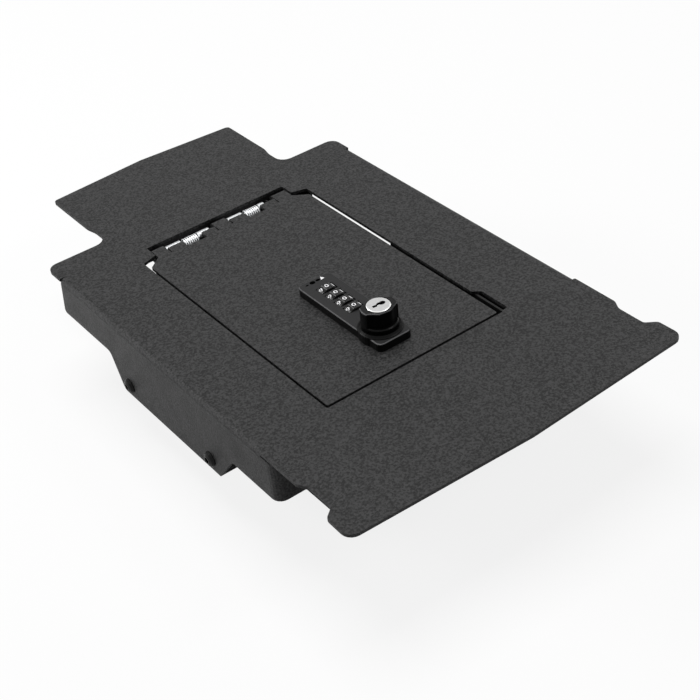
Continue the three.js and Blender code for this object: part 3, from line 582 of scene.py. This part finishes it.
for side, ends in COIL_SPANS.items():
    wire = mesh_piece(
        f"coil_wire_{side}",
        *tube(coil_points(*ends), WIRE_R * MM),
        WIRE,
        "root",
        "zinc_plate",
    )
    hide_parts(f"torsion_spring_{side}")


# Thin flat marks

MARK_HALF_THICK = 0.06


def thickened(vertices, faces, place):
    """A flat outline made into a thin closed plate: place gives a point for (x, y, height)."""
    count = len(vertices)
    # Kept in the order of the faces, as a dictionary without values.
    edges = dict.fromkeys(
        (a, b) for face in faces for a, b in zip(face, face[1:] + face[:1])
    )
    border = [(a, b) for a, b in edges if (b, a) not in edges]
    points = [place(v.x, v.y, MARK_HALF_THICK) for v in vertices]
    points += [place(v.x, v.y, -MARK_HALF_THICK) for v in vertices]
    made = [tuple(f) for f in faces]
    made += [tuple(i + count for i in reversed(f)) for f in faces]
    made += [(b, a, a + count, b + count) for a, b in border]
    return points, made


def joined(parts):
    """Several pairs of vertices and faces made into one."""
    vertices, faces = [], []
    for points, polygons in parts:
        shift = len(vertices)
        vertices += points
        faces += [tuple(i + shift for i in p) for p in polygons]
    return vertices, faces


# Numbers on the dials

DIALS = 4
DIGITS = 10
DIAL_X = -3.2
DIAL_FIRST_Y = -25.3
DIAL_PITCH = 10
DIAL_R = 8.2
NUMBER_SIZE = 4.6
NUMBER_WIDEN = 1.4
NUMBER_CURVE_STEPS = 3
# How much bolder a number is drawn than the font has it, in millimetres
STROKES = {"0": 0.05, "1": 0.2}
OTHER_STROKE = -0.01


def glyph(text):
    """Vertices and faces of a flat number, in millimetres, centred."""
    curve = bpy.data.curves.new("glyph", "FONT")
    curve.body = text
    curve.size = NUMBER_SIZE
    curve.offset = STROKES.get(text, OTHER_STROKE)
    curve.resolution_u = NUMBER_CURVE_STEPS
    curve.align_x = "CENTER"
    curve.align_y = "CENTER"
    obj = bpy.data.objects.new("glyph", curve)
    scene.collection.objects.link(obj)
    bpy.context.view_layer.update()
    depsgraph = bpy.context.evaluated_depsgraph_get()
    mesh = bpy.data.meshes.new_from_object(obj.evaluated_get(depsgraph))
    vertices = [v.co.copy() for v in mesh.vertices]
    faces = [tuple(p.vertices) for p in mesh.polygons]
    bpy.data.objects.remove(obj)
    bpy.data.meshes.remove(mesh)
    bpy.data.curves.remove(curve)
    low = Vector((min(v.x for v in vertices), min(v.y for v in vertices), 0))
    high = Vector((max(v.x for v in vertices), max(v.y for v in vertices), 0))
    middle = (low + high) / 2
    return [v - middle for v in vertices], faces


def on_rim(middle_angle, dial_y):
    """Where a point of a flat number comes to lie round a dial's rim."""
    def place(x, y, height):
        angle = middle_angle + x * NUMBER_WIDEN / DIAL_R
        reach = DIAL_R + height
        return at(DIAL_X + reach * math.sin(angle), dial_y + y, reach * math.cos(angle))

    return place


GLYPHS = [glyph(str(n)) for n in range(DIGITS)]
DIAL_YS = [DIAL_FIRST_Y - DIAL_PITCH * dial for dial in range(DIALS)]

for dial, dial_y in enumerate(DIAL_YS):
    numbers = [
        thickened(vertices, faces, on_rim(math.radians(360 / DIGITS * number), dial_y))
        for number, (vertices, faces) in enumerate(GLYPHS)
    ]
    mesh_piece(
        f"dial_numbers_{dial + 1}",
        *joined(numbers),
        PAINT_WHITE,
        f"dial_{dial + 1}",
        "lock_black",
    )


# A dark plate just inside the key plug's keyway, painted shade for the keyway's depth

KEYWAY = (
    (-4.4, -1.5),
    (-1.7, -1.5),
    (-0.9, -0.4),
    (4.4, -1.0),
    (4.4, 1.6),
    (0.4, 1.9),
    (-1.8, 0.6),
    (-4.4, 0.6),
)
KEYWAY_SHADE_DEPTHS = (0.1, 0.4)
KEYWAY_SHADE_SHARE = (0.97, 0.93)  # of the keyway's length and width
KEY_CENTRE = Vector((*key_middle, key_top))


def shutter():
    """Vertices and faces of a plate of the keyway's shape."""
    count = len(KEYWAY)
    points = [
        KEY_CENTRE + Vector((x * KEYWAY_SHADE_SHARE[0], y * KEYWAY_SHADE_SHARE[1], -depth)) * MM
        for depth in KEYWAY_SHADE_DEPTHS
        for x, y in KEYWAY
    ]
    walls = [((k + 1) % count, k, k + count, (k + 1) % count + count) for k in range(count)]
    return points, [tuple(range(count)), tuple(range(2 * count - 1, count - 1, -1)), *walls]


mesh_piece("keyway_shade_plate", *shutter(), PRINT_AND_SHADE_DARK, "key", "key_nickel")


# Lips that close the ends of the dial slots, just below the cover's top

DIAL_HALF = 3.75
LIP_REACH = (6.45, 7.5)
LIP_LEVELS = (5.4, 5.97)
LIP_EDGE_MM = 0.1

for dial, dial_y in enumerate(DIAL_YS):
    for side, sign in (("left", -1), ("right", 1)):
        near, far = sorted(sign * reach for reach in LIP_REACH)
        corners = [
            at(DIAL_X + x, dial_y + y, z)
            for z in LIP_LEVELS
            for x, y in (
                (near, -DIAL_HALF),
                (far, -DIAL_HALF),
                (far, DIAL_HALF),
                (near, DIAL_HALF),
            )
        ]
        walls = [(k, (k + 1) % 4, (k + 1) % 4 + 4, k + 4) for k in range(4)]
        mesh_piece(
            f"slot_lip_{dial + 1}_{side}",
            corners,
            [(3, 2, 1, 0), (4, 5, 6, 7), *walls],
            LOCK,
            "lid",
            "lock_black",
            LIP_EDGE_MM,
        )


# Marks on the lock cover: a white pointer and a short row of small dark ones

COVER_TOP = 6
POINTER_AT = (1.5, -12.9)
POINTER = ((-1.6, -1.5), (1.6, -1.0), (0, 2.0))
# Each small mark's place on the cover, its length and its width
SMALL_MARKS = (
    (-1.9, -13.0, 3.4, 2.2),
    (-6.4, -13.1, 4.2, 3.3),
    (-11.0, -13.3, 2.4, 1.3),
)
MARK_SIDES = 8
MARK_STRETCH = 1.06  # makes up for what the ring's straight sides cut off


def on_cover(cx, cy):
    """Where a point of a flat mark comes to lie on the lock cover."""
    def place(x, y, height):
        return at(cx + x, cy + y, COVER_TOP + height)

    return place


def oval(long, wide):
    """A small rounded mark, as a ring of points."""
    ring = []
    for k in range(MARK_SIDES):
        angle = 2 * math.pi * (k + 0.5) / MARK_SIDES
        point = Vector((long / 2 * math.cos(angle), wide / 2 * math.sin(angle), 0))
        ring.append(point * MARK_STRETCH)
    return ring


def cover_mark(name, outline, place, material):
    """A flat mark of one face on the lock cover."""
    plate = thickened(outline, [tuple(range(len(outline)))], on_cover(*place))
    mesh_piece(name, *plate, material, "lid", "lock_black")


cover_mark("pointer_mark", [Vector((x, y, 0)) for x, y in POINTER], POINTER_AT, PAINT_WHITE)
for k, (x, y, long, wide) in enumerate(SMALL_MARKS):
    cover_mark(f"small_mark_{k + 1}", oval(long, wide), (x, y), PRINT_AND_SHADE_DARK)


# Floor: to the camera it is a glowing white that takes a faint shadow. To the object it is a
# dull grey that lights it little, and white in its reflections.

FLOOR_SIZE = 8
FLOOR_GREY = (0.25, 0.25, 0.25, 1)
FLOOR_WHITE = (0.9, 0.9, 0.9, 1)
FLOOR_GLOW = 1.0
SHADOW_SHARE = 0.16


def floor_material():
    m = Nodes("floor")
    m.tree.nodes.remove(m.shader)
    path = m.add("ShaderNodeLightPath")
    shown = m.add("ShaderNodeMath", operation="MAXIMUM")
    m.link(path.outputs["Is Camera Ray"], shown.inputs[0])
    m.link(path.outputs["Is Transmission Ray"], shown.inputs[1])
    plain = m.add("ShaderNodeBsdfDiffuse", Color=FLOOR_GREY)
    white = m.add("ShaderNodeBsdfDiffuse", Color=FLOOR_WHITE)
    glow = m.add("ShaderNodeEmission", Strength=FLOOR_GLOW)
    pale = m.add("ShaderNodeMixShader", Fac=SHADOW_SHARE)
    m.link(glow.outputs[0], pale.inputs[1])
    m.link(white.outputs[0], pale.inputs[2])
    mirrored = m.add("ShaderNodeMixShader")
    m.link(path.outputs["Is Glossy Ray"], mirrored.inputs["Fac"])
    m.link(plain.outputs[0], mirrored.inputs[1])
    m.link(white.outputs[0], mirrored.inputs[2])
    final = m.add("ShaderNodeMixShader")
    m.link(shown.outputs[0], final.inputs["Fac"])
    m.link(mirrored.outputs[0], final.inputs[1])
    m.link(pale.outputs[0], final.inputs[2])
    m.link(final.outputs[0], m.tree.nodes["Material Output"].inputs["Surface"])
    return m.material


half = FLOOR_SIZE / 2
floor_mesh = bpy.data.meshes.new("floor")
floor_mesh.from_pydata(
    [(-half, -half, 0), (half, -half, 0), (half, half, 0), (-half, half, 0)],
    [],
    [(0, 1, 2, 3)],
)
floor_mesh.materials.append(floor_material())
floor = bpy.data.objects.new("floor", floor_mesh)
scene.collection.objects.link(floor)


# World: white, at its full strength to the camera only

WORLD_BASE = 0.14
WORLD_GAINS = {"Is Camera Ray": 0.86, "Is Glossy Ray": 0.66}

world = bpy.data.worlds.new("studio")
scene.world = world
world.use_nodes = True
world_nodes = world.node_tree.nodes
world_link = world.node_tree.links.new
background = world_nodes["Background"]
background.inputs["Color"].default_value = (1, 1, 1, 1)
world_path = world_nodes.new("ShaderNodeLightPath")
strength = None
for ray, gain in WORLD_GAINS.items():
    raised = world_nodes.new("ShaderNodeMath")
    raised.operation = "MULTIPLY_ADD"
    world_link(world_path.outputs[ray], raised.inputs[0])
    raised.inputs[1].default_value = gain
    raised.inputs[2].default_value = WORLD_BASE
    if strength:
        world_link(strength, raised.inputs[2])
    strength = raised.outputs[0]
world_link(strength, background.inputs["Strength"])


# Lamps: place and aim in metres, size of the lit rectangle, power in watts


def softbox(name, place, aim, size, power):
    data = bpy.data.lights.new(name, "AREA")
    data.shape = "RECTANGLE"
    data.size, data.size_y = size
    data.energy = power
    lamp = bpy.data.objects.new(name, data)
    scene.collection.objects.link(lamp)
    lamp.location = Vector(place)
    lamp.rotation_euler = (Vector(aim) - Vector(place)).to_track_quat("-Z", "Y").to_euler()


softbox("key_left", (-1.3, 1.25, 0.8), (-0.1, 0.05, 0.06), (0.6, 0.5), 16)
softbox("top", (0.0, 0.4, 2.4), (0, 0, 0.06), (1.5, 1.5), 42)
softbox("edge_front", (1.1, -1.5, 1.65), (0, -0.05, 0.08), (0.5, 0.4), 7)
softbox("edge_right", (2.2, 0.6, 0.7), (0, 0, 0.06), (0.9, 0.5), 6)

scene.view_settings.view_transform = "Standard"
